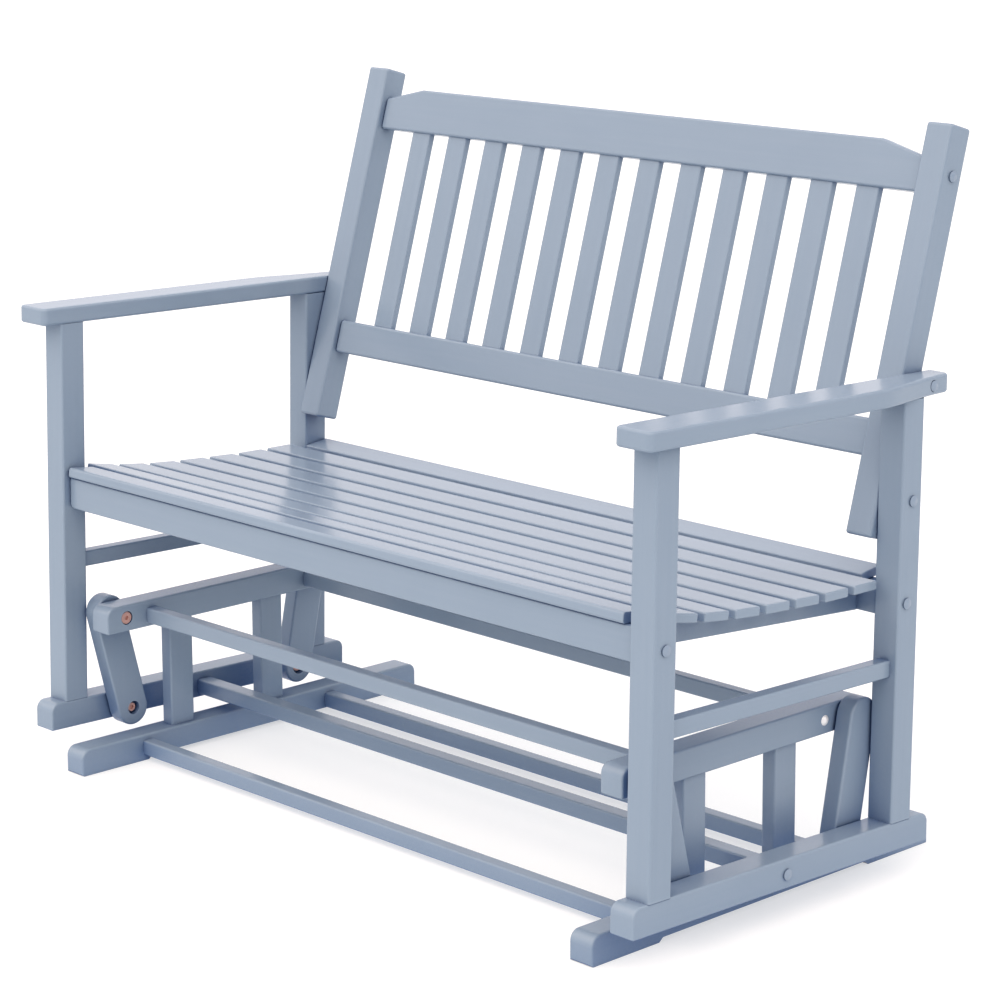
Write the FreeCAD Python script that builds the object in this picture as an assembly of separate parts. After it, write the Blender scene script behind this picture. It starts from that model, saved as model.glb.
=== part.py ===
import FreeCAD, Part
import os, math

os.makedirs("parts", exist_ok=True)
V = FreeCAD.Vector

# ---------------------------------------------------------------- dimensions
# All in mm. Working frame: X across the bench, Y to the back with y = 0 at the
# front face of the front legs, Z up with z = 0 at the floor.

# --- seat frame (drawn level, then pitched back as one assembly)
SEAT_PITCH = 1.22          # degrees, rear down, at rest
FRONT_LEG_X0, FRONT_LEG_X1 = 561.5, 600.9  # inner and outer faces of the legs
REAR_LEG_X0, REAR_LEG_X1 = 560.5, 600.4
LEG_Y = 39.5               # leg thickness front to back
LEG_FRONT_Y = -2.3         # front face of the front legs
LEG_REAR_Y = 450.1         # front face of the rear legs
RAIL_X0, RAIL_X1 = 561.0, 599.8            # seat bottom rails
RAIL_Y0, RAIL_Y1 = -27.2, 526.2
RAIL_ZF, RAIL_ZR, RAIL_Z1 = 52.0, 53.4, 91.7  # underside front and rear, top
RAIL_NOSE_R = 13.0
LEG_TOP_Z = 644.4
STRETCH_X0, STRETCH_X1 = 569.9, 590.1      # side stretcher between the legs
STRETCH_Z0, STRETCH_Z1 = 284.0, 306.6
APRON_Y0, APRON_T = 9.0, 18.0              # front apron
APRON_Z0 = 376.9
APRON_CORNER_R = 9.0
REAR_APRON_Y0, REAR_APRON_T = 455.0, 19.0
REAR_APRON_Z0 = 361.0
SEAT_RAIL_X0, SEAT_RAIL_X1 = 509.5, 527.5  # side rails under the slats
SEAT_RAIL_ZF, SEAT_RAIL_ZR = 381.3, 360.3  # underside, front and rear
MID_Y0, MID_Y1 = 237.9, 263.0              # stretcher between the bottom rails
MID_Z0, MID_Z1 = 58.7, 81.1

# Top line of each seat slat in the side view (y0, z0, y1, z1), its thickness and
# its two ends; the seat boards sit a few millimetres to the left on their rails.
SLAT_T = 12.0
SLATS = [
    (4.7, 437.4, 46.2, 433.2, 14.5, -557.0, 544.3),
    (57.8, 432.5, 102.4, 425.2, SLAT_T, -585.0, 575.0),
    (113.8, 423.6, 158.0, 418.9, SLAT_T, -585.0, 575.0),
    (169.6, 417.7, 214.2, 414.9, SLAT_T, -585.0, 575.0),
    (225.6, 414.4, 269.6, 412.6, SLAT_T, -585.0, 575.0),
    (281.2, 412.3, 325.6, 410.9, SLAT_T, -585.0, 575.0),
    (337.0, 410.6, 381.2, 410.5, SLAT_T, -585.0, 575.0),
    (392.8, 410.5, 437.0, 411.0, SLAT_T, -585.0, 575.0),
    (448.4, 411.5, 489.0, 417.6, SLAT_T, -559.0, 540.0),
]
SLAT_R = 2.0
FRONT_NOSE_R = 4.0

# --- armrests
ARM_X0, ARM_X1 = 559.2, 619.3
ARM_Y0, ARM_Y1 = -33.9, 548.0
ARM_Z0, ARM_Z1 = LEG_TOP_Z, 669.2
ARM_TAIL = [(385.0, 619.3), (425.0, 614.2), (466.0, 605.6), (505.0, 598.4), (548.0, 594.5)]

# --- back, drawn upright as d (depth) and s (height), then leaned and placed
LEAN = 15.0                # degrees
BACK_Y, BACK_Z = 465.15, 564.95
STILE_X0, STILE_X1 = 519.0, REAR_LEG_X0
STILE_D0, STILE_D1 = -1.0, 39.6
STILE_S0, STILE_S1 = -105.0, 433.5
TOP_RAIL_S0, TOP_RAIL_S1 = 342.6, 407.2
TOP_RAIL_SHOULDER_X = 444.0
TOP_RAIL_SHOULDER_S = 388.8
LOW_RAIL_S0, LOW_RAIL_S1 = -3.4, 45.6
TOP_RAIL_D0, TOP_RAIL_D1 = 9.0, 30.0
LOW_RAIL_D0, LOW_RAIL_D1 = 7.7, 28.4
RAIL_CORNER_R = 5.0        # rounded corners of both rails' ends
BACK_SLATS = 12
BACK_SLAT_W = 38.9
BACK_SLAT_X = 451.5        # outer edge of the first and last slat
BACK_SLAT_D0, BACK_SLAT_D1 = 13.5, 24.4

# --- base
RUN_X0, RUN_X1 = 491.7, 530.2
RUN_Y0, RUN_Y1 = -24.3, 616.6
RUN_H = 38.4
RUN_NOSE_R = 14.0
RELIEF_H = 5.4
RELIEF_Y0, RELIEF_Y1 = 93.4, 493.0
TOP_X0, TOP_X1 = 492.8, 530.5
TOP_Y0, TOP_Y1 = 27.2, 477.3
TOP_Z0, TOP_Z1 = 198.3, 237.2
TOP_NOSE_R = 14.0
POST_X0, POST_X1 = 500.0, 522.3
POST_Y = [(143.6, 185.3), (314.1, 355.5)]
CROSS = {                  # cross stretchers: y0, y1, z0, z1, half length
    "base_stretcher_top_front": (97.2, 115.9, 204.0, 226.5, TOP_X0),
    "base_stretcher_top_rear": (392.8, 410.6, 204.2, 226.6, TOP_X0),
    "base_stretcher_bottom_front": (84.2, 103.2, 8.4, 30.2, RUN_X0),
    "base_stretcher_bottom_rear": (430.2, 450.2, 6.4, 29.0, RUN_X0),
}

# --- links and pivots (base frame)
LINK_X0, LINK_X1 = 532.4, 558.4
LINK_W = 51.0
LINK_L = 155.0
PIVOT_TOP_Z = 218.4
PIVOT_TOP_Y = [61.5, 444.6]
PIVOT_LOW_Y = [98.9, 414.6]
BOLT_R = 4.0
HEAD_R = 9.0
LOW_HEAD_R = [6.7, 8.6]      # lower bolts, front and rear
HEAD_T = 5.2
SOCKET_R = 3.4             # across the hexagon's corners
SOCKET_DEPTH = 3.0
SINK_R = 9.9               # head recess in the top rail
SINK_DEPTH = 6.3
LOW_SINK_R = [9.9, 12.2]  # head recess in the link, front and rear
LOW_SINK_DEPTH = 10.4
SLEEVE_R = 6.0
FLANGE_R = 13.0
RUN_FIT = 0.05             # radial, bolt in sleeve and bolt in front-left link
FREE_FIT = 0.3             # radial, front-right lower pivot
OPEN_FIT = 3.2             # radial, rear lower pivots
GAP = 0.3                  # side play between links and what they run against
WASHER_R = 11.5

# --- capped bolts
CAP_R = 7.2
CAP_H = 1.6
CAP_RIM = 2.2
SHANK_R = 3.0
SHANK_FIT = 0.2
EASE = 3.0                 # edge rounding of the timber


# ---------------------------------------------------------------- helpers
def box(x0, x1, y0, y1, z0, z1):
    return Part.makeBox(x1 - x0, y1 - y0, z1 - z0, V(x0, y0, z0))


def prism_x(pts, x0, x1):
    w = Part.makePolygon([V(x0, y, z) for y, z in pts] + [V(x0, pts[0][0], pts[0][1])])
    return Part.Face(w).extrude(V(x1 - x0, 0, 0))


def direction(e):
    if len(e.Vertexes) < 2 or not isinstance(e.Curve, Part.Line):
        return None
    d = e.Vertexes[1].Point.sub(e.Vertexes[0].Point)
    d.normalize()
    return d


def along(e, axis, tol=0.02):
    d = direction(e)
    return d is not None and abs(abs(d.dot(axis)) - 1.0) < tol


def pick(shape, test):
    return [e for e in shape.Edges if test(e)]


def fillet(shape, r, edges):
    if not edges:
        return shape
    for k in (1.0, 0.8, 0.6, 0.4):
        try:
            s = shape.makeFillet(r * k, edges)
            if s.isValid() and s.Volume > 0:
                return s.Solids[0] if len(s.Solids) == 1 else s
        except Exception:
            pass
    print("fillet left out, radius", r)
    return shape


X, Y, Z = V(1, 0, 0), V(0, 1, 0), V(0, 0, 1)


def bar(shape, axis, r=EASE):
    """Round the long edges of a straight bar."""
    return fillet(shape, r, pick(shape, lambda e: along(e, axis)))


def all_round(shape, r=EASE):
    """Round every edge of a free-ended piece."""
    return fillet(shape, r, shape.Edges)


def cyl_x(x0, x1, y, z, r):
    return Part.makeCylinder(r, x1 - x0, V(x0, y, z), X)


def mirrored(shape):
    return shape.mirror(V(0, 0, 0), X)


def rx(shape, deg):
    s = shape.copy()
    s.rotate(V(0, 0, 0), X, deg)
    return s


def back_place(shape):
    s = rx(shape, -LEAN)
    s.translate(V(0, BACK_Y, BACK_Z))
    return s


def back_point(d, s):
    a = math.radians(LEAN)
    return (BACK_Y + s * math.sin(a) + d * math.cos(a),
            BACK_Z + s * math.cos(a) - d * math.sin(a))


def hex_x(x0, x1, y, z, r):
    pts = [(y + r * math.cos(math.radians(60 * k)), z + r * math.sin(math.radians(60 * k)))
           for k in range(6)]
    return prism_x(pts, x0, x1)


def dome_bolt(x, y, z, length, cap_r=CAP_R, cap_h=CAP_H, rim=CAP_RIM, shank_r=SHANK_R):
    """Bolt with a low domed head on a straight rim, on the face at x; the shank runs to -X."""
    R = (cap_r * cap_r + cap_h * cap_h) / (2 * cap_h)
    top = x + rim
    ball = Part.makeSphere(R, V(top + cap_h - R, y, z))
    head = ball.common(box(top, top + cap_h + 1, y - cap_r - 1, y + cap_r + 1, z - cap_r - 1, z + cap_r + 1))
    if rim > 0:
        head = head.fuse(cyl_x(x, top, y, z, cap_r))
    shank = cyl_x(x - length, x, y, z, shank_r)
    return head.fuse(shank).removeSplitter()


def slat_profile(y0, z0, y1, z1, t):
    """Side view of a slat from its top line; t is measured square to it."""
    a = math.atan2(z1 - z0, y1 - y0)
    dy, dz = math.sin(a) * t, -math.cos(a) * t
    return [(y0 + dy, z0 + dz), (y1 + dy, z1 + dz), (y1, z1), (y0, z0)]


def under_z(y):
    """Height of the slats' underside at y, for the rails below them."""
    pts = []
    for y0, z0, y1, z1, t in [s[:5] for s in SLATS]:
        pr = slat_profile(y0, z0, y1, z1, t)
        pts += [pr[0], pr[1]]
    pts.sort()
    for (a, za), (b, zb) in zip(pts, pts[1:]):
        if a <= y <= b:
            return za + (zb - za) * (y - a) / (b - a)
    return pts[0][1] if y < pts[0][0] else pts[-1][1]


PARTS = {}
BOTH = {}                  # right-hand pieces, mirrored at the end


# ---------------------------------------------------------------- seat: right side
SEAT = {}
SEAT_BOTH = {}

rail = prism_x([(RAIL_Y0, RAIL_ZF), (RAIL_Y1, RAIL_ZR), (RAIL_Y1, RAIL_Z1), (RAIL_Y0, RAIL_Z1)],
               RAIL_X0, RAIL_X1)
rail = fillet(rail, RAIL_NOSE_R, pick(rail, lambda e: along(e, X) and e.CenterOfMass.z > RAIL_Z1 - 1))
rail = all_round(rail, 2.5)
SEAT_BOTH["seat_bottom_rail"] = rail

for tag, y0, x0, x1 in (("front_leg", LEG_FRONT_Y, FRONT_LEG_X0, FRONT_LEG_X1),
                        ("rear_leg", LEG_REAR_Y, REAR_LEG_X0, REAR_LEG_X1)):
    SEAT_BOTH[tag] = bar(box(x0, x1, y0, y0 + LEG_Y, RAIL_Z1, LEG_TOP_Z), Z)

SEAT_BOTH["side_stretcher"] = bar(
    box(STRETCH_X0, STRETCH_X1, LEG_FRONT_Y + LEG_Y, LEG_REAR_Y, STRETCH_Z0, STRETCH_Z1), Y, 2.5)

# armrest: straight inner edge, outer edge drawn in towards the back
tail = Part.BSplineCurve()
tail_pts = [V(x, y, ARM_Z0) for y, x in ARM_TAIL]
tail.interpolate(Points=tail_pts, InitialTangent=V(0, 1, 0) * 60, FinalTangent=V(-0.05, 1, 0) * 60)
cr = 9.0
c45 = cr * (1 - math.sqrt(0.5))
e_list = [
    Part.Arc(V(ARM_X0, ARM_Y0 + cr, ARM_Z0), V(ARM_X0 + c45, ARM_Y0 + c45, ARM_Z0),
             V(ARM_X0 + cr, ARM_Y0, ARM_Z0)).toShape(),
    Part.LineSegment(V(ARM_X0 + cr, ARM_Y0, ARM_Z0), V(ARM_X1 - cr, ARM_Y0, ARM_Z0)).toShape(),
    Part.Arc(V(ARM_X1 - cr, ARM_Y0, ARM_Z0), V(ARM_X1 - c45, ARM_Y0 + c45, ARM_Z0),
             V(ARM_X1, ARM_Y0 + cr, ARM_Z0)).toShape(),
    Part.LineSegment(V(ARM_X1, ARM_Y0 + cr, ARM_Z0), tail_pts[0]).toShape(),
    tail.toShape(),
    Part.LineSegment(tail_pts[-1], V(ARM_X0, ARM_Y1, ARM_Z0)).toShape(),
    Part.LineSegment(V(ARM_X0, ARM_Y1, ARM_Z0), V(ARM_X0, ARM_Y0 + cr, ARM_Z0)).toShape(),
]
arm = Part.Face(Part.Wire(e_list)).extrude(V(0, 0, ARM_Z1 - ARM_Z0))
arm = fillet(arm, 12.0, pick(arm, lambda e: along(e, Z) and e.CenterOfMass.y > ARM_Y1 - 2 and e.CenterOfMass.x > 590))
arm = fillet(arm, 6.0, pick(arm, lambda e: along(e, Z) and e.CenterOfMass.y > ARM_Y1 - 2 and e.CenterOfMass.x < 570))
arm = fillet(arm, 4.0, pick(arm, lambda e: abs(e.BoundBox.ZMin - e.BoundBox.ZMax) < 0.01))
# shallow housing that takes the back stile
arm = arm.cut(back_place(box(STILE_X0 - 1, STILE_X1, STILE_D0, STILE_D1, STILE_S0, STILE_S1)))
SEAT_BOTH["armrest"] = arm

# side rail under the slats, its top following them
ys = ([APRON_Y0 + APRON_T, slat_profile(*SLATS[0][:5])[1][0]]
      + [v for s in SLATS[1:8] for v in (s[0] + 1.0, s[2] - 1.0)]
      + [slat_profile(*SLATS[8][:5])[0][0], REAR_APRON_Y0])
top = [(y, under_z(y) - 0.05) for y in ys]
side = prism_x([(ys[0], SEAT_RAIL_ZF), (ys[-1], SEAT_RAIL_ZR)] + top[::-1], SEAT_RAIL_X0, SEAT_RAIL_X1)
side = fillet(side, 2.0, pick(side, lambda e: direction(e) is not None and abs(direction(e).x) < 0.01
                              and e.CenterOfMass.z < 384 and e.Length > 100))
SEAT_BOTH["seat_side_rail"] = side

# back stile
stile = all_round(box(STILE_X0, STILE_X1, STILE_D0, STILE_D1, STILE_S0, STILE_S1), 4.0)
SEAT_BOTH["back_stile"] = back_place(stile)

# ---------------------------------------------------------------- seat: centre pieces
fa = APRON_Y0
apron = prism_x([(fa, APRON_Z0), (fa + APRON_T, APRON_Z0),
                 (fa + APRON_T, under_z(fa + APRON_T)), (fa, under_z(fa))], -FRONT_LEG_X0, FRONT_LEG_X0)
apron = fillet(apron, APRON_CORNER_R,
               pick(apron, lambda e: along(e, Y) and e.CenterOfMass.z < APRON_Z0 + 1))
apron = fillet(apron, 2.5, pick(apron, lambda e: along(e, X) and e.CenterOfMass.z < APRON_Z0 + 1))
apron = fillet(apron, 4.5, pick(apron, lambda e: along(e, X) and e.CenterOfMass.z > APRON_Z0 + 20
                                and e.CenterOfMass.y < fa + 1))
SEAT["front_apron"] = apron

ra = REAR_APRON_Y0
rapron = prism_x([(ra, REAR_APRON_Z0), (ra + REAR_APRON_T, REAR_APRON_Z0),
                  (ra + REAR_APRON_T, under_z(ra + REAR_APRON_T)), (ra, under_z(ra))], -REAR_LEG_X0, REAR_LEG_X0)
rapron = fillet(rapron, 2.5, pick(rapron, lambda e: along(e, X) and e.CenterOfMass.z < REAR_APRON_Z0 + 1))
SEAT["rear_apron"] = rapron

SEAT["seat_mid_stretcher"] = bar(box(-RAIL_X0, RAIL_X0, MID_Y0, MID_Y1, MID_Z0, MID_Z1), X, 2.5)

mids = []
for k, (y0, z0, y1, z1, thick, x0, x1) in enumerate(SLATS):
    s = prism_x(slat_profile(y0, z0, y1, z1, thick), x0, x1)
    if k == 0:
        s = fillet(s, FRONT_NOSE_R, pick(s, lambda e: along(e, X) and e.CenterOfMass.y < y0 + 1))
        s = fillet(s, 1.5, pick(s, lambda e: e.CenterOfMass.y > y1 - 4 or e.CenterOfMass.x < x0 + 0.1
                                or e.CenterOfMass.x > x1 - 0.1))
        SEAT["seat_slat_front"] = s
    elif k == 8:
        SEAT["seat_slat_rear"] = all_round(s, SLAT_R)
    else:
        mids.append(all_round(s, SLAT_R))
SEAT["seat_slats_middle"] = Part.makeCompound(mids)

# back rails and slats
sx = STILE_X0
w = Part.makePolygon([V(-sx, TOP_RAIL_D0, TOP_RAIL_S0), V(sx, TOP_RAIL_D0, TOP_RAIL_S0),
                      V(sx, TOP_RAIL_D0, TOP_RAIL_SHOULDER_S),
                      V(TOP_RAIL_SHOULDER_X, TOP_RAIL_D0, TOP_RAIL_S1),
                      V(-TOP_RAIL_SHOULDER_X, TOP_RAIL_D0, TOP_RAIL_S1),
                      V(-sx, TOP_RAIL_D0, TOP_RAIL_SHOULDER_S), V(-sx, TOP_RAIL_D0, TOP_RAIL_S0)])
tr = Part.Face(w).extrude(V(0, TOP_RAIL_D1 - TOP_RAIL_D0, 0))
tr = fillet(tr, RAIL_CORNER_R, pick(tr, lambda e: along(e, Y) and abs(e.CenterOfMass.x) > sx - 1))
tr = fillet(tr, 3.5, pick(tr, lambda e: abs(e.BoundBox.YMin - e.BoundBox.YMax) < 0.01))
SEAT["back_top_rail"] = back_place(tr)
lr = box(-sx, sx, LOW_RAIL_D0, LOW_RAIL_D1, LOW_RAIL_S0, LOW_RAIL_S1)
lr = fillet(lr, RAIL_CORNER_R, pick(lr, lambda e: along(e, Y)))
lr = fillet(lr, 3.5, pick(lr, lambda e: abs(e.BoundBox.YMin - e.BoundBox.YMax) < 0.01))
SEAT["back_lower_rail"] = back_place(lr)

pitch = (2 * BACK_SLAT_X - BACK_SLAT_W) / (BACK_SLATS - 1)
for k in range(BACK_SLATS):
    x0 = -BACK_SLAT_X + k * pitch
    s = bar(box(x0, x0 + BACK_SLAT_W, BACK_SLAT_D0, BACK_SLAT_D1, LOW_RAIL_S1, TOP_RAIL_S0), Z, 2.5)
    SEAT["back_slat_%02d" % (k + 1)] = back_place(s)

# ---------------------------------------------------------------- base
runner = prism_x([(RUN_Y0, 0), (RELIEF_Y0, 0), (RELIEF_Y0 + 7.0, RELIEF_H),
                  (RELIEF_Y1 - 7.0, RELIEF_H), (RELIEF_Y1, 0), (RUN_Y1, 0),
                  (RUN_Y1, RUN_H), (RUN_Y0, RUN_H)], RUN_X0, RUN_X1)
runner = fillet(runner, RUN_NOSE_R, pick(runner, lambda e: along(e, X) and e.CenterOfMass.z > RUN_H - 1))
runner = fillet(runner, EASE, pick(runner, lambda e: (e.CenterOfMass.z > 6.5 and not along(e, X))
                                   or (along(e, X) and e.CenterOfMass.z < 1
                                       and (e.CenterOfMass.y < RUN_Y0 + 1 or e.CenterOfMass.y > RUN_Y1 - 1))))
BOTH["base_runner"] = runner

trail = box(TOP_X0, TOP_X1, TOP_Y0, TOP_Y1, TOP_Z0, TOP_Z1)
trail = fillet(trail, TOP_NOSE_R, pick(trail, lambda e: along(e, X) and e.CenterOfMass.z > TOP_Z1 - 1))
trail = all_round(trail, EASE)
BOTH["base_top_rail"] = trail

for tag, (y0, y1) in zip(("base_post_front", "base_post_rear"), POST_Y):
    BOTH[tag] = bar(box(POST_X0, POST_X1, y0, y1, RUN_H, TOP_Z0), Z)

for tag, (y0, y1, z0, z1, half) in CROSS.items():
    PARTS[tag] = bar(box(-half, half, y0, y1, z0, z1), X, 2.5)

# ---------------------------------------------------------------- links
for k, tag in enumerate(("link_front", "link_rear")):
    ty, tz = PIVOT_TOP_Y[k], PIVOT_TOP_Z
    by = PIVOT_LOW_Y[k]
    bz = tz - math.sqrt(LINK_L ** 2 - (by - ty) ** 2)
    uy, uz = (by - ty) / LINK_L, (bz - tz) / LINK_L
    h = LINK_W / 2.0
    ny, nz = -uz, uy
    x = LINK_X0
    p = lambda a, b: V(x, a, b)
    t1, t2 = p(ty + ny * h, tz + nz * h), p(ty - ny * h, tz - nz * h)
    b1, b2 = p(by + ny * h, bz + nz * h), p(by - ny * h, bz - nz * h)
    tm, bm = p(ty - uy * h, tz - uz * h), p(by + uy * h, bz + uz * h)
    wire = Part.Wire([Part.Arc(t1, tm, t2).toShape(), Part.LineSegment(t2, b2).toShape(),
                      Part.Arc(b2, bm, b1).toShape(), Part.LineSegment(b1, t1).toShape()])
    link = Part.Face(wire).extrude(V(LINK_X1 - LINK_X0, 0, 0))
    link = fillet(link, EASE, [e for e in link.Edges if abs(e.BoundBox.XMin - e.BoundBox.XMax) < 0.01])
    # blind hole for the top bolt, recess and through hole for the lower one
    link = link.cut(cyl_x(LINK_X0 - 1, LINK_X0 + 16.0, ty, tz, BOLT_R + 0.15))
    link = link.cut(cyl_x(LINK_X0 - 1, LINK_X0 + LOW_SINK_DEPTH, by, bz, LOW_SINK_R[k]))
    for side_tag, fit in (("right", FREE_FIT if k == 0 else OPEN_FIT),
                          ("left", RUN_FIT if k == 0 else OPEN_FIT)):
        one = link.cut(cyl_x(LINK_X0, LINK_X1 + 1, by, bz, BOLT_R + fit))
        one = one if side_tag == "right" else mirrored(one)
        PARTS["%s_%s" % (tag, side_tag)] = one
    # top bolt: head in the top rail's recess, shank into the link
    hx = TOP_X0 + SINK_DEPTH - GAP
    bolt = cyl_x(hx - HEAD_T, hx, ty, tz, HEAD_R)
    bolt = fillet(bolt, 1.0, [e for e in bolt.Edges if abs(e.BoundBox.XMin - (hx - HEAD_T)) < 0.01
                              and abs(e.BoundBox.XMax - (hx - HEAD_T)) < 0.01])
    bolt = bolt.fuse(cyl_x(hx, LINK_X0 + 16.0, ty, tz, BOLT_R)).removeSplitter()
    bolt = bolt.cut(hex_x(hx - HEAD_T - 1, hx - HEAD_T + SOCKET_DEPTH, ty, tz, SOCKET_R))
    BOTH["pivot_bolt_%s" % ("front" if k == 0 else "rear")] = bolt
    # recess and sleeve bore in the top rail
    BOTH["base_top_rail"] = BOTH["base_top_rail"].cut(
        cyl_x(TOP_X0 - 1, TOP_X0 + SINK_DEPTH, ty, tz, SINK_R)).cut(
        cyl_x(TOP_X0, TOP_X1 + 1, ty, tz, SLEEVE_R + 0.1))
    sleeve = cyl_x(TOP_X0 + SINK_DEPTH, TOP_X1, ty, tz, SLEEVE_R).fuse(
        cyl_x(TOP_X1, LINK_X0 - GAP, ty, tz, FLANGE_R)).removeSplitter()
    sleeve = sleeve.cut(cyl_x(TOP_X0, LINK_X0, ty, tz, BOLT_R + RUN_FIT))
    BOTH.setdefault("_sleeves", []).append(sleeve)
    # lower bolt: head in the link's recess, shank into the seat bottom rail
    hx = LINK_X0 + LOW_SINK_DEPTH - GAP
    low = cyl_x(hx - HEAD_T, hx, by, bz, LOW_HEAD_R[k])
    low = fillet(low, 1.0, [e for e in low.Edges if abs(e.BoundBox.XMin - (hx - HEAD_T)) < 0.01
                            and abs(e.BoundBox.XMax - (hx - HEAD_T)) < 0.01])
    low = low.fuse(cyl_x(hx, RAIL_X0 + 26.0, by, bz, BOLT_R)).removeSplitter()
    low = low.cut(hex_x(hx - HEAD_T - 1, hx - HEAD_T + SOCKET_DEPTH, by, bz, SOCKET_R))
    BOTH.setdefault("_low", []).append(low)
    washer = cyl_x(LINK_X1 + GAP, RAIL_X0, by, bz, WASHER_R).cut(
        cyl_x(LINK_X1, RAIL_X0 + 1, by, bz, BOLT_R + 0.2))
    BOTH.setdefault("_washers", []).append(washer)
    BOTH.setdefault("_rail_holes", []).append(
        cyl_x(RAIL_X0 - 1, RAIL_X0 + 26.0, by, bz, BOLT_R + 0.15))

# ---------------------------------------------------------------- capped bolts
caps = []
A = []                      # (x of the face, y, z, length, pieces it passes)


def cap(x, y, z, length, pieces, place=None):
    b = dome_bolt(x, y, z, length)
    bore = cyl_x(x - length, x + 6, y, z, SHANK_R + SHANK_FIT)
    for name in pieces:
        if name in SEAT_BOTH:
            SEAT_BOTH[name] = SEAT_BOTH[name].cut(bore)
        else:
            SEAT[name] = SEAT[name].cut(bore).cut(mirrored(bore))
    caps.append(b)
    caps.append(mirrored(b))


cap(FRONT_LEG_X1, 17.6, 399.3, 66.0, ["front_leg", "front_apron"])
cap(REAR_LEG_X1, 465.5, 381.0, 66.0, ["rear_leg", "rear_apron"])
cap(RAIL_X1, 248.4, 71.3, 66.0, ["seat_bottom_rail", "seat_mid_stretcher"])
cy, cz = back_point(19.3, -48.0)
cap(REAR_LEG_X1, cy, cz, 66.0, ["rear_leg", "back_stile"])
cy, cz = back_point(19.3, 368.0)
cap(STILE_X1, cy, cz, 70.0, ["back_stile", "back_top_rail"])
# armrest: a small flat seat for the cap on the drawn-in outer edge
cy = 509.5
cz = (ARM_Z0 + ARM_Z1) / 2.0
fx = 597.0
SEAT_BOTH["armrest"] = SEAT_BOTH["armrest"].cut(cyl_x(fx, fx + 20, cy, cz, CAP_R + 0.6))
cap(fx, cy, cz, 68.0, ["armrest", "back_stile"])
SEAT["seat_cap_bolts"] = Part.makeCompound(caps)

# bright domed bolts that hold the rear top stretcher
d = CROSS["base_stretcher_top_rear"]
by_, bz_ = (d[0] + d[1]) / 2.0 - 1.5, (d[2] + d[3]) / 2.0 + 1.4
b = dome_bolt(TOP_X1, by_, bz_, 62.0, 7.0, 3.2, 0.0)
bore = cyl_x(TOP_X1 - 62.0, TOP_X1 + 6, by_, bz_, SHANK_R + SHANK_FIT)
BOTH["base_top_rail"] = BOTH["base_top_rail"].cut(bore)
PARTS["base_stretcher_top_rear"] = PARTS["base_stretcher_top_rear"].cut(bore).cut(mirrored(bore))
PARTS["base_dome_bolts"] = Part.makeCompound([b, mirrored(b)])

# ---------------------------------------------------------------- assemble
sleeves = BOTH.pop("_sleeves")
lows = BOTH.pop("_low")
washers = BOTH.pop("_washers")
holes = BOTH.pop("_rail_holes")
PARTS["base_sleeves"] = Part.makeCompound(sleeves + [mirrored(s) for s in sleeves])

for name, s in SEAT_BOTH.items():
    s = rx(s, -SEAT_PITCH)
    if name == "seat_bottom_rail":
        for h in holes:
            s = s.cut(h)
    PARTS[name + "_right"] = s
    PARTS[name + "_left"] = mirrored(s)
for name, s in SEAT.items():
    PARTS[name] = rx(s, -SEAT_PITCH)
PARTS["seat_pivot_bolts"] = Part.makeCompound(lows + [mirrored(s) for s in lows])
PARTS["seat_pivot_washers"] = Part.makeCompound(washers + [mirrored(s) for s in washers])
for name, s in BOTH.items():
    PARTS[name + "_right"] = s
    PARTS[name + "_left"] = mirrored(s)

# origin at the middle of the footprint, on the floor
bb = FreeCAD.BoundBox()
for s in PARTS.values():
    bb.add(s.optimalBoundingBox(False, False) if hasattr(s, "optimalBoundingBox") else s.BoundBox)
SHIFT_Y = -round((bb.YMin + bb.YMax) / 2.0, 3)
print("bounds before shift", [round(v, 3) for v in (bb.XMin, bb.XMax, bb.YMin, bb.YMax, bb.ZMin, bb.ZMax)], "shift", SHIFT_Y)

for old in os.listdir("parts"):
    if old.endswith(".step"):
        os.remove(os.path.join("parts", old))
count = 0
for name in sorted(PARTS):
    s = PARTS[name].copy()
    s.translate(V(0, SHIFT_Y, 0))
    ok = s.isValid()
    solids = len(s.Solids)
    print("%-32s solids %2d valid %s volume %10.1f" % (name, solids, ok, s.Volume))
    if solids == 1 and s.ShapeType != "Solid":
        s = s.Solids[0]
    s.exportStep("parts/%s.step" % name)
    count += 1
print("nodes", count)
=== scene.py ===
import math
import bpy
from mathutils import Vector, Matrix

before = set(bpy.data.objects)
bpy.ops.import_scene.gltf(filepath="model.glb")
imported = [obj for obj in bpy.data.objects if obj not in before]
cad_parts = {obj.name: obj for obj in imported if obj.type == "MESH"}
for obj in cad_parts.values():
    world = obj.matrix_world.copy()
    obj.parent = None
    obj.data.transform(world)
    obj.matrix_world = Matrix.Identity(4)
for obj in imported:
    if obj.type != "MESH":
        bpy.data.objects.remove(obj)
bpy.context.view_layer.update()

# ------------------------------------------------------------------ placing
# The camera was solved in the drawing frame of the bench, whose y = 0 is the front
# face of the front legs; the model's origin is 0.304596 m behind that.
SHIFT_Y = -0.304596
CAM_POS = (3.0177695, -2.5498090 + SHIFT_Y, 1.4100310)
YAW, PITCH, ROLL = 0.794983, -0.186933, -0.001639
FOCAL_PX, PP_X, PP_Y = 3118.027, 540.207, 363.112


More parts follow.
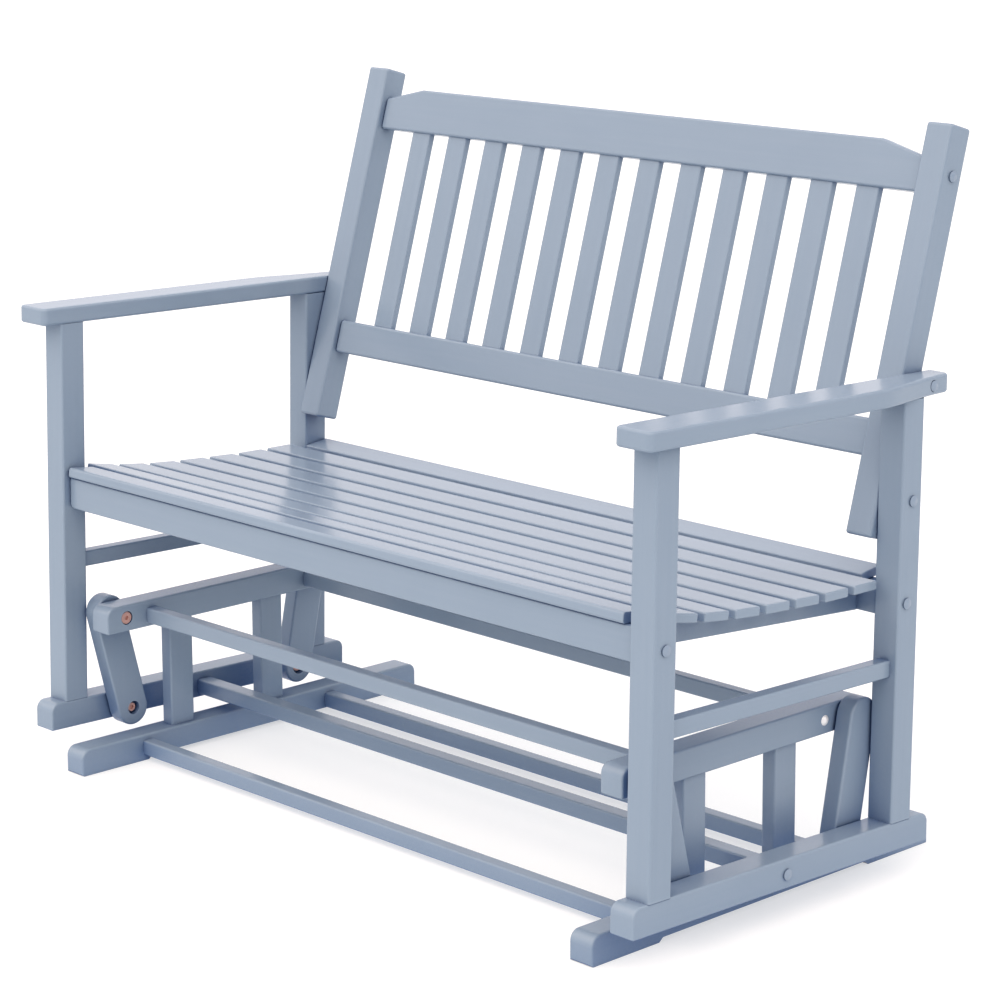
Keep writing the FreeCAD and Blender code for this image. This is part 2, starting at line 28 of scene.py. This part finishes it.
def make_camera():
    cd = bpy.data.cameras.new("camera")
    cam = bpy.data.objects.new("camera", cd)
    bpy.context.scene.collection.objects.link(cam)
    cp, sp = math.cos(PITCH), math.sin(PITCH)
    fwd = Vector((-math.sin(YAW) * cp, math.cos(YAW) * cp, sp))
    right = Vector((math.cos(YAW), math.sin(YAW), 0.0))
    up = right.cross(fwd)
    r2 = right * math.cos(ROLL) + up * math.sin(ROLL)
    u2 = -right * math.sin(ROLL) + up * math.cos(ROLL)
    m = Matrix((
        (r2.x, u2.x, -fwd.x, CAM_POS[0]),
        (r2.y, u2.y, -fwd.y, CAM_POS[1]),
        (r2.z, u2.z, -fwd.z, CAM_POS[2]),
        (0, 0, 0, 1)))
    cam.matrix_world = m
    cd.sensor_fit = "HORIZONTAL"
    cd.sensor_width = 36.0
    cd.lens = FOCAL_PX / 1000.0 * 36.0
    cd.shift_x = (500.0 - PP_X) / 1000.0
    cd.shift_y = (PP_Y - 500.0) / 1000.0
    cd.clip_start, cd.clip_end = 0.05, 60.0
    bpy.context.scene.camera = cam
    return cam


make_camera()


# ------------------------------------------------------------------ materials
def new_mat(name):
    m = bpy.data.materials.new(name)
    m.use_nodes = True
    nt = m.node_tree
    for n in list(nt.nodes):
        nt.nodes.remove(n)
    out = nt.nodes.new("ShaderNodeOutputMaterial")
    b = nt.nodes.new("ShaderNodeBsdfPrincipled")
    nt.links.new(b.outputs["BSDF"], out.inputs["Surface"])
    return m, nt, b


def srgb(r, g, b):
    def f(c):
        c /= 255.0
        return c / 12.92 if c <= 0.04045 else ((c + 0.055) / 1.055) ** 2.4
    return (f(r), f(g), f(b), 1.0)


def math_node(nt, op, a, b=None, c=None, clamp=False):
    n = nt.nodes.new("ShaderNodeMath")
    n.operation = op
    n.use_clamp = clamp
    for i, v in enumerate((a, b, c)):
        if v is None:
            continue
        if isinstance(v, (int, float)):
            n.inputs[i].default_value = v
        else:
            nt.links.new(v, n.inputs[i])
    return n.outputs["Value"]


def noise(nt, vector, scale, detail=3.0, rough=0.5, distort=0.0):
    n = nt.nodes.new("ShaderNodeTexNoise")
    n.inputs["Scale"].default_value = scale
    n.inputs["Detail"].default_value = detail
    n.inputs["Roughness"].default_value = rough
    n.inputs["Distortion"].default_value = distort
    nt.links.new(vector, n.inputs["Vector"])
    return n.outputs["Fac"]


def remap(nt, value, lo, hi, to_lo, to_hi):
    n = nt.nodes.new("ShaderNodeMapRange")
    n.inputs["From Min"].default_value = lo
    n.inputs["From Max"].default_value = hi
    n.inputs["To Min"].default_value = to_lo
    n.inputs["To Max"].default_value = to_hi
    nt.links.new(value, n.inputs["Value"])
    return n.outputs["Result"]


def edge_mask(nt, distance):
    """1 close to outward edges, 0 on flats: rays sent inwards leave through the next face there."""
    ao = nt.nodes.new("ShaderNodeAmbientOcclusion")
    ao.inside = True
    ao.only_local = True
    ao.samples = 8
    ao.inputs["Distance"].default_value = distance
    return remap(nt, ao.outputs["AO"], 0.55, 0.95, 1.0, 0.0)


def painted_shade_mask(nt, distance):
    """Mask for painted shade: 1 in the open, 0 far in between pieces."""
    ao = nt.nodes.new("ShaderNodeAmbientOcclusion")
    ao.samples = 6
    ao.inputs["Distance"].default_value = distance
    return remap(nt, ao.outputs["AO"], 0.10, 0.61, 0.0, 1.0)


def gap_shade_mask(nt, distance):
    """Mask for painted shade in narrow gaps: 1 on open faces, 0 in narrow gaps and holes."""
    ao = nt.nodes.new("ShaderNodeAmbientOcclusion")
    ao.samples = 4
    ao.inputs["Distance"].default_value = distance
    return remap(nt, ao.outputs["AO"], 0.18, 0.50, 0.0, 1.0)


PAINT = (0.2470, 0.3150, 0.4015)
PAINTED_SHADE = (0.285, 0.462, 0.795)      # painted shade: the paint darkened and blued where other pieces keep the light off
PAINTED_GAP_SHADE = (0.34, 0.37, 0.44)    # painted shade in narrow gaps and screw holes


def timber(name, axis, tilt=0.0, gain=1.0):
    """Satin paint sprayed on timber; the grain runs along axis, leaned by tilt degrees about X."""
    m, nt, b = new_mat(name)
    N, L = nt.nodes, nt.links
    tc = N.new("ShaderNodeTexCoord")
    mp = N.new("ShaderNodeMapping")
    mp.inputs["Rotation"].default_value = (math.radians(tilt), 0, 0)
    L.new(tc.outputs["Object"], mp.inputs["Vector"])
    sc = N.new("ShaderNodeMapping")
    sc.inputs["Scale"].default_value = {"X": (0.7, 20.0, 20.0), "Y": (20.0, 0.7, 20.0), "Z": (20.0, 20.0, 0.7)}[axis]
    L.new(mp.outputs["Vector"], sc.inputs["Vector"])
    grain = noise(nt, sc.outputs["Vector"], 8.0, 3.0, 0.45, 0.2)
    cloud = noise(nt, tc.outputs["Object"], 9.0, 3.0, 0.5)
    peel = noise(nt, tc.outputs["Object"], 260.0, 2.0, 0.5)
    edge = edge_mask(nt, 0.004)

    # colour: paint over grain, a little thicker and thinner in broad patches, lighter on edges (rubbed paint and a
    # painted highlight), with painted shade between pieces and in narrow gaps
    ramp = N.new("ShaderNodeValToRGB")
    lo, hi = 0.990 * gain, 1.008 * gain
    ramp.color_ramp.elements[0].position = 0.30
    ramp.color_ramp.elements[1].position = 0.72
    ramp.color_ramp.elements[0].color = (PAINT[0] * lo * 0.99, PAINT[1] * lo, PAINT[2] * lo * 1.005, 1)
    ramp.color_ramp.elements[1].color = (PAINT[0] * hi, PAINT[1] * hi, PAINT[2] * hi, 1)
    L.new(grain, ramp.inputs["Fac"])
    patch = N.new("ShaderNodeValToRGB")
    patch.color_ramp.elements[0].position = 0.28
    patch.color_ramp.elements[1].position = 0.72
    patch.color_ramp.elements[0].color = (0.968, 0.972, 0.976, 1)
    patch.color_ramp.elements[1].color = (1, 1, 1, 1)
    L.new(cloud, patch.inputs["Fac"])
    mul = N.new("ShaderNodeMix")
    mul.data_type = "RGBA"
    mul.blend_type = "MULTIPLY"
    mul.inputs["Factor"].default_value = 1.0
    L.new(ramp.outputs["Color"], mul.inputs["A"])
    L.new(patch.outputs["Color"], mul.inputs["B"])
    # edges lighter: partly rubbed paint, partly a painted highlight on the rounded edges
    worn_and_highlit = N.new("ShaderNodeMix")
    worn_and_highlit.data_type = "RGBA"
    worn_and_highlit.blend_type = "MIX"
    L.new(math_node(nt, "MULTIPLY", edge, 0.14), worn_and_highlit.inputs["Factor"])
    L.new(mul.outputs["Result"], worn_and_highlit.inputs["A"])
    worn_and_highlit.inputs["B"].default_value = (min(1, PAINT[0] * 1.55), min(1, PAINT[1] * 1.45), min(1, PAINT[2] * 1.35), 1)
    # painted shade: darker, bluer paint where other pieces stand close round the surface
    shade_tint = N.new("ShaderNodeMix")
    shade_tint.data_type = "RGBA"
    shade_tint.blend_type = "MIX"
    L.new(painted_shade_mask(nt, 0.22), shade_tint.inputs["Factor"])
    shade_tint.inputs["A"].default_value = (PAINTED_SHADE[0], PAINTED_SHADE[1], PAINTED_SHADE[2], 1)
    shade_tint.inputs["B"].default_value = (1, 1, 1, 1)
    fin = N.new("ShaderNodeMix")
    fin.data_type = "RGBA"
    fin.blend_type = "MULTIPLY"
    fin.inputs["Factor"].default_value = 1.0
    L.new(worn_and_highlit.outputs["Result"], fin.inputs["A"])
    L.new(shade_tint.outputs["Result"], fin.inputs["B"])
    # painted shade: darker paint inside narrow gaps and screw holes
    gap_shade = N.new("ShaderNodeMix")
    gap_shade.data_type = "RGBA"
    gap_shade.blend_type = "MIX"
    L.new(gap_shade_mask(nt, 0.012), gap_shade.inputs["Factor"])
    gap_shade.inputs["A"].default_value = (PAINTED_GAP_SHADE[0], PAINTED_GAP_SHADE[1], PAINTED_GAP_SHADE[2], 1)
    gap_shade.inputs["B"].default_value = (1, 1, 1, 1)
    low = N.new("ShaderNodeMix")
    low.data_type = "RGBA"
    low.blend_type = "MULTIPLY"
    low.inputs["Factor"].default_value = 1.0
    L.new(fin.outputs["Result"], low.inputs["A"])
    L.new(gap_shade.outputs["Result"], low.inputs["B"])
    L.new(low.outputs["Result"], b.inputs["Base Color"])

    # gloss: satin, slightly uneven along the grain, duller where edges are rubbed
    r = remap(nt, grain, 0.25, 0.75, 0.196, 0.208)
    r = math_node(nt, "MULTIPLY_ADD", cloud, 0.03, r)
    r = math_node(nt, "MULTIPLY_ADD", edge, 0.03, r)
    L.new(r, b.inputs["Roughness"])
    b.inputs["IOR"].default_value = 1.42
    b.inputs["Specular IOR Level"].default_value = 0.5

    h = math_node(nt, "MULTIPLY_ADD", peel, 0.5, grain)
    bump = N.new("ShaderNodeBump")
    bump.inputs["Strength"].default_value = 0.014
    bump.inputs["Distance"].default_value = 0.0006
    L.new(h, bump.inputs["Height"])
    L.new(bump.outputs["Normal"], b.inputs["Normal"])
    return m


def cap_paint_shaded_rim():
    """The painted caps: the same paint on the face, the rim darker and bluer as painted shade."""
    m, nt, b = new_mat("cap_paint_shaded_rim")
    N, L = nt.nodes, nt.links
    tc = N.new("ShaderNodeTexCoord")
    sep = N.new("ShaderNodeSeparateXYZ")
    L.new(tc.outputs["Normal"], sep.inputs["Vector"])
    face = remap(nt, math_node(nt, "ABSOLUTE", sep.outputs["X"]), 0.30, 0.85, 0.0, 1.0)
    n = noise(nt, tc.outputs["Object"], 300.0, 3.0)
    face_and_rim_shade = N.new("ShaderNodeMix")
    face_and_rim_shade.data_type = "RGBA"
    L.new(face, face_and_rim_shade.inputs["Factor"])
    # rim colour: painted shade on the cap's side wall; the flat face keeps the paint colour
    face_and_rim_shade.inputs["A"].default_value = (PAINT[0] * 0.46, PAINT[1] * 0.50, PAINT[2] * 0.56, 1)
    face_and_rim_shade.inputs["B"].default_value = (PAINT[0] * 0.99, PAINT[1] * 0.99, PAINT[2] * 1.0, 1)
    vary = N.new("ShaderNodeValToRGB")
    vary.color_ramp.elements[0].color = (0.96, 0.96, 0.97, 1)
    vary.color_ramp.elements[1].color = (1.03, 1.03, 1.03, 1)
    L.new(n, vary.inputs["Fac"])
    mul = N.new("ShaderNodeMix")
    mul.data_type = "RGBA"
    mul.blend_type = "MULTIPLY"
    mul.inputs["Factor"].default_value = 1.0
    L.new(face_and_rim_shade.outputs["Result"], mul.inputs["A"])
    L.new(vary.outputs["Color"], mul.inputs["B"])
    L.new(mul.outputs["Result"], b.inputs["Base Color"])
    L.new(remap(nt, n, 0.2, 0.8, 0.20, 0.26), b.inputs["Roughness"])
    bump = N.new("ShaderNodeBump")
    bump.inputs["Strength"].default_value = 0.05
    bump.inputs["Distance"].default_value = 0.0004
    L.new(n, bump.inputs["Height"])
    L.new(bump.outputs["Normal"], b.inputs["Normal"])
    return m


def metal(name, color, rough, scale=500.0, spread=0.08, metallic=1.0):
    m, nt, b = new_mat(name)
    N, L = nt.nodes, nt.links
    tc = N.new("ShaderNodeTexCoord")
    n = noise(nt, tc.outputs["Object"], scale, 3.0)
    L.new(remap(nt, n, 0.2, 0.8, rough - spread, rough + spread), b.inputs["Roughness"])
    cr = N.new("ShaderNodeValToRGB")
    cr.color_ramp.elements[0].color = (color[0] * 0.82, color[1] * 0.82, color[2] * 0.82, 1)
    cr.color_ramp.elements[1].color = color
    L.new(n, cr.inputs["Fac"])
    L.new(cr.outputs["Color"], b.inputs["Base Color"])
    b.inputs["Metallic"].default_value = metallic
    bump = N.new("ShaderNodeBump")
    bump.inputs["Strength"].default_value = 0.08
    bump.inputs["Distance"].default_value = 0.0004
    L.new(n, bump.inputs["Height"])
    L.new(bump.outputs["Normal"], b.inputs["Normal"])
    return m


SEAT_PITCH, LEAN = 1.22, 14.79
MATS = {
    "x": timber("paint_along_x", "X", 0.0),
    "y": timber("paint_along_y", "Y", SEAT_PITCH),
    "z": timber("paint_along_z", "Z", SEAT_PITCH),
    "back": timber("paint_back", "Z", SEAT_PITCH + LEAN),
    "back_x": timber("paint_back_rail", "X", 0.0),
    "copper": metal("copper_plate", (0.61, 0.377, 0.335, 1), 0.36, metallic=0.30),
    "bright": metal("bright_zinc", (0.93, 0.935, 0.95, 1), 0.34, metallic=0.25),
    "dull": metal("dull_zinc", srgb(120, 122, 126), 0.48),
    "cap": cap_paint_shaded_rim(),
}


def mat_of(n):
    if n.startswith("pivot_bolt") or n == "seat_pivot_bolts":
        return "copper"
    if n == "base_dome_bolts":
        return "bright"
    if n in ("base_sleeves", "seat_pivot_washers"):
        return "dull"
    if n == "seat_cap_bolts":
        return "cap"
    if n.startswith("back_slat") or n.startswith("back_stile"):
        return "back"
    if n.startswith("back_"):
        return "back_x"
    if "leg" in n or "post" in n or n.startswith("link_"):
        return "z"
    if "slat" in n or "stretcher" in n and not n.startswith("side_") or "apron" in n:
        return "x"
    return "y"


for name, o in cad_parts.items():
    m = MATS[mat_of(name)]
    o.data.materials.clear()
    o.data.materials.append(m)


# ------------------------------------------------------------------ floor and light
def floor():
    me = bpy.data.meshes.new("floor")
    s = 14.0
    me.from_pydata([(-s, -s, 0), (s, -s, 0), (s, s, 0), (-s, s, 0)], [], [(0, 1, 2, 3)])
    o = bpy.data.objects.new("floor", me)
    o.location = (0, 0, -0.0004)
    bpy.context.scene.collection.objects.link(o)
    m, nt, b = new_mat("floor_white")
    b.inputs["Base Color"].default_value = (0.41, 0.415, 0.42, 1)
    b.inputs["Emission Color"].default_value = (1, 1.003, 1, 1)
    b.inputs["Emission Strength"].default_value = 0.60
    b.inputs["Roughness"].default_value = 0.9
    b.inputs["Specular IOR Level"].default_value = 0.1
    me.materials.append(m)


floor()

# soft tent: brightness by direction; each term is (strength, side across, lifted)
TENT = [(0.42, 'up', 'up'), (4.08, 'front', 'up'), (3.18, 'right', 'up'), (0.88, 'left', 'up'), (0.80, 'left', None), (0.73, 'back', None), (0.096, 'front', None), (0.06, 'right', None)]


def tent():
    world = bpy.data.worlds.new("world")
    bpy.context.scene.world = world
    world.use_nodes = True
    nt = world.node_tree
    bg = nt.nodes["Background"]
    bg.inputs["Color"].default_value = (1.0, 1.0, 1.0, 1)
    tc = nt.nodes.new("ShaderNodeTexCoord")
    sep = nt.nodes.new("ShaderNodeSeparateXYZ")
    nt.links.new(tc.outputs["Generated"], sep.inputs["Vector"])
    pos = lambda name, sign: math_node(nt, "MAXIMUM", math_node(nt, "MULTIPLY", sep.outputs[name], float(sign)), 0.0)
    side = {"up": pos("Z", 1), "front": pos("Y", -1), "right": pos("X", 1), "left": pos("X", -1), "back": pos("Y", 1)}
    total = None
    for strength, a, b in TENT:
        if a is None:
            part = strength
        else:
            part = side[a] if b is None else math_node(nt, "MULTIPLY", side[a], side[b])
            part = math_node(nt, "MULTIPLY", part, strength)
        total = part if total is None else math_node(nt, "ADD", part, total)
    if isinstance(total, float):
        total = math_node(nt, "ADD", total, 0.0)
    nt.links.new(total, bg.inputs["Strength"])
    hue = nt.nodes.new("ShaderNodeValToRGB")
    hue.color_ramp.elements[0].position = 0.05
    hue.color_ramp.elements[1].position = 1.0
    hue.color_ramp.elements[0].color = (0.88, 0.97, 1.15, 1)
    hue.color_ramp.elements[1].color = (1.14, 1.0, 0.90, 1)
    nt.links.new(math_node(nt, "MULTIPLY", total, 0.5), hue.inputs["Fac"])
    nt.links.new(hue.outputs["Color"], bg.inputs["Color"])


tent()
bpy.context.scene.view_settings.view_transform = "Standard"
bpy.context.scene.view_settings.look = "None"
bpy.context.scene.view_settings.gamma = 0.8696
